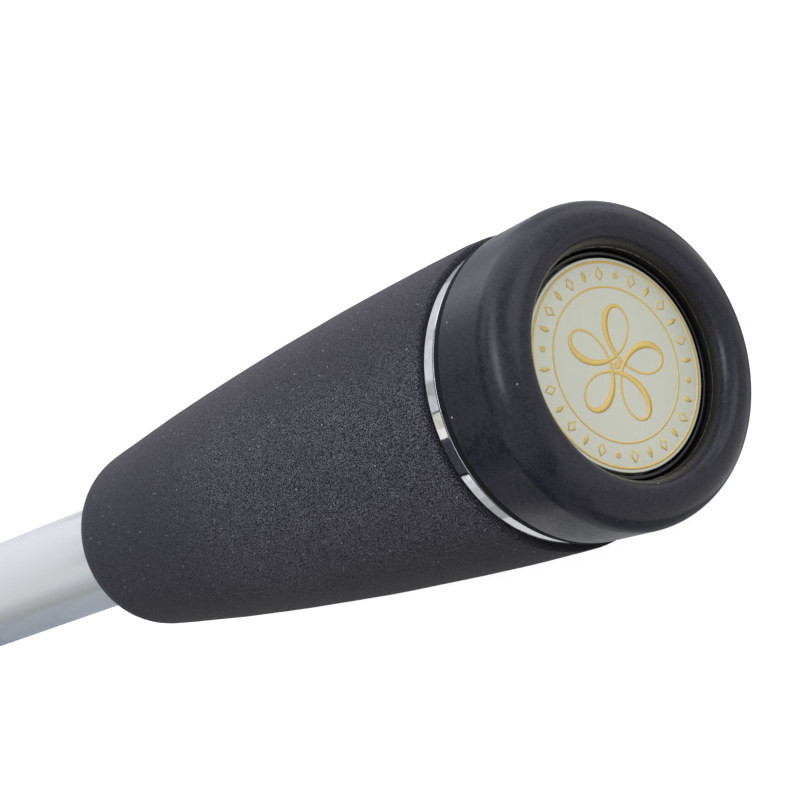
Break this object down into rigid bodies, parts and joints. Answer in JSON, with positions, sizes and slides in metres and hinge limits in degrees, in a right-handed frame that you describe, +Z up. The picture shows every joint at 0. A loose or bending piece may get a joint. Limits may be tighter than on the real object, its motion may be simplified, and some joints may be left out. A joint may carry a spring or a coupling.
{
  "type": "telescopic white cane",
  "caption": "Telescopic white cane with tapered foam grip, polished trim ring, screw-on rubber butt cap with medallion, twist locks, red lower section and roller tip.",
  "frame": {"origin": "on the floor under the middle of the extended cane's length", "axes": "+X along the cane towards the grip's butt cap, +Z up; the cane lies level on its cap and its roller tip"},
  "size_m": [1, 0.0348, 0.0348],
  "materials": {
    "black_rubber": "satin moulded rubber",
    "champagne_disc": "pale champagne, finely brushed, gold printed ornament",
    "felt": "grey felt and foam tape",
    "gloss_black": "gloss black",
    "steel": "machined steel",
    "black_nylon": "moulded nylon",
    "brass": "turned brass",
    "polished_trim": "mirror polished",
    "eva_foam": null,
    "white_paint": "gloss pearl white coat on aluminium tube",
    "red_paint": "gloss red coat on aluminium tube",
    "pale_nylon": "pale wear-resistant nylon"
  },
  "bodies": {
    "upper": {"upper_tube": "white_paint", "grip_foam": "eva_foam", "grip_core": "black_nylon", "trim_ring": "polished_trim", "upper_collar": "black_nylon", "upper_wiper": "felt"},
    "washer": {"thrust_washer": "brass"},
    "cap": {"butt_cap": "black_rubber", "cap_plug": "black_nylon", "medallion_cup": "gloss_black", "medallion_disc": "champagne_disc", "adhesive_pad": "felt", "cup_screw": "steel", "seal_ring": "black_rubber"},
    "middle_expander": {"middle_expander": "black_nylon"},
    "middle_cone": {"middle_cone": "brass"},
    "middle": {"middle_tube": "white_paint", "middle_tube_plug": "black_nylon", "middle_stud": "steel", "middle_stud_stop": "steel", "middle_collar": "black_nylon", "middle_wiper": "felt"},
    "lower_expander": {"lower_expander": "black_nylon"},
    "lower_cone": {"lower_cone": "brass"},
    "lower": {"lower_tube": "red_paint", "lower_tube_plug": "black_nylon", "lower_stud": "steel", "lower_stud_stop": "steel", "tip_adapter": "black_nylon", "tip_axle": "steel", "bearing_inner_race": "steel", "axle_washer": "steel", "axle_nut": "steel"},
    "cage": {"ball_cage": "steel"},
    "roller": {"roller_tip": "pale_nylon", "bearing_outer_race": "steel", "roller_bush": "brass", "roller_end_cap": "black_nylon"}
  },
  "joints": [
    {"name": "middle_slide", "type": "slide", "parent": "upper", "child": "middle_expander", "axis": [1, 0, 0], "range_m": [0, 0.268]},
    {"name": "middle_twist", "type": "hinge", "parent": "middle_expander", "child": "middle", "pos_m": [0.155, 0, 0.01738], "axis": [1, 0, 0], "range_deg": [0, 540]},
    {"name": "middle_cone_travel", "type": "slide", "parent": "middle_expander", "child": "middle_cone", "axis": [1, 0, 0], "range_m": [0, 0.0031]},
    {"name": "lower_slide", "type": "slide", "parent": "middle", "child": "lower_expander", "axis": [1, 0, 0], "range_m": [0, 0.228]},
    {"name": "lower_twist", "type": "hinge", "parent": "lower_expander", "child": "lower", "pos_m": [-0.145, 0, 0.01738], "axis": [1, 0, 0], "range_deg": [0, 540]},
    {"name": "lower_cone_travel", "type": "slide", "parent": "lower_expander", "child": "lower_cone", "axis": [1, 0, 0], "range_m": [0, 0.0031]},
    {"name": "cap_travel", "type": "slide", "parent": "upper", "child": "washer", "axis": [1, 0, 0], "range_m": [0, 0.0071]},
    {"name": "cap_unscrew", "type": "hinge", "parent": "washer", "child": "cap", "pos_m": [0.48835, 0, 0.01738], "axis": [1, 0, 0], "range_deg": [0, 1260]},
    {"name": "tip_spin", "type": "hinge", "parent": "lower", "child": "roller", "pos_m": [-0.483, 0, 0.01738], "axis": [1, 0, 0], "continuous": true},
    {"name": "cage_spin", "type": "hinge", "parent": "lower", "child": "cage", "pos_m": [-0.4725, 0, 0.01738], "axis": [1, 0, 0], "continuous": true}
  ],
  "couplings": [
    {"joint": "middle_cone_travel", "follows": "middle_twist", "m_per_rad": 0.00031831},
    {"joint": "lower_cone_travel", "follows": "lower_twist", "m_per_rad": 0.00031831},
    {"joint": "cap_travel", "follows": "cap_unscrew", "m_per_rad": 0.00031831},
    {"joint": "cage_spin", "follows": "tip_spin", "ratio": 0.612}
  ]
}
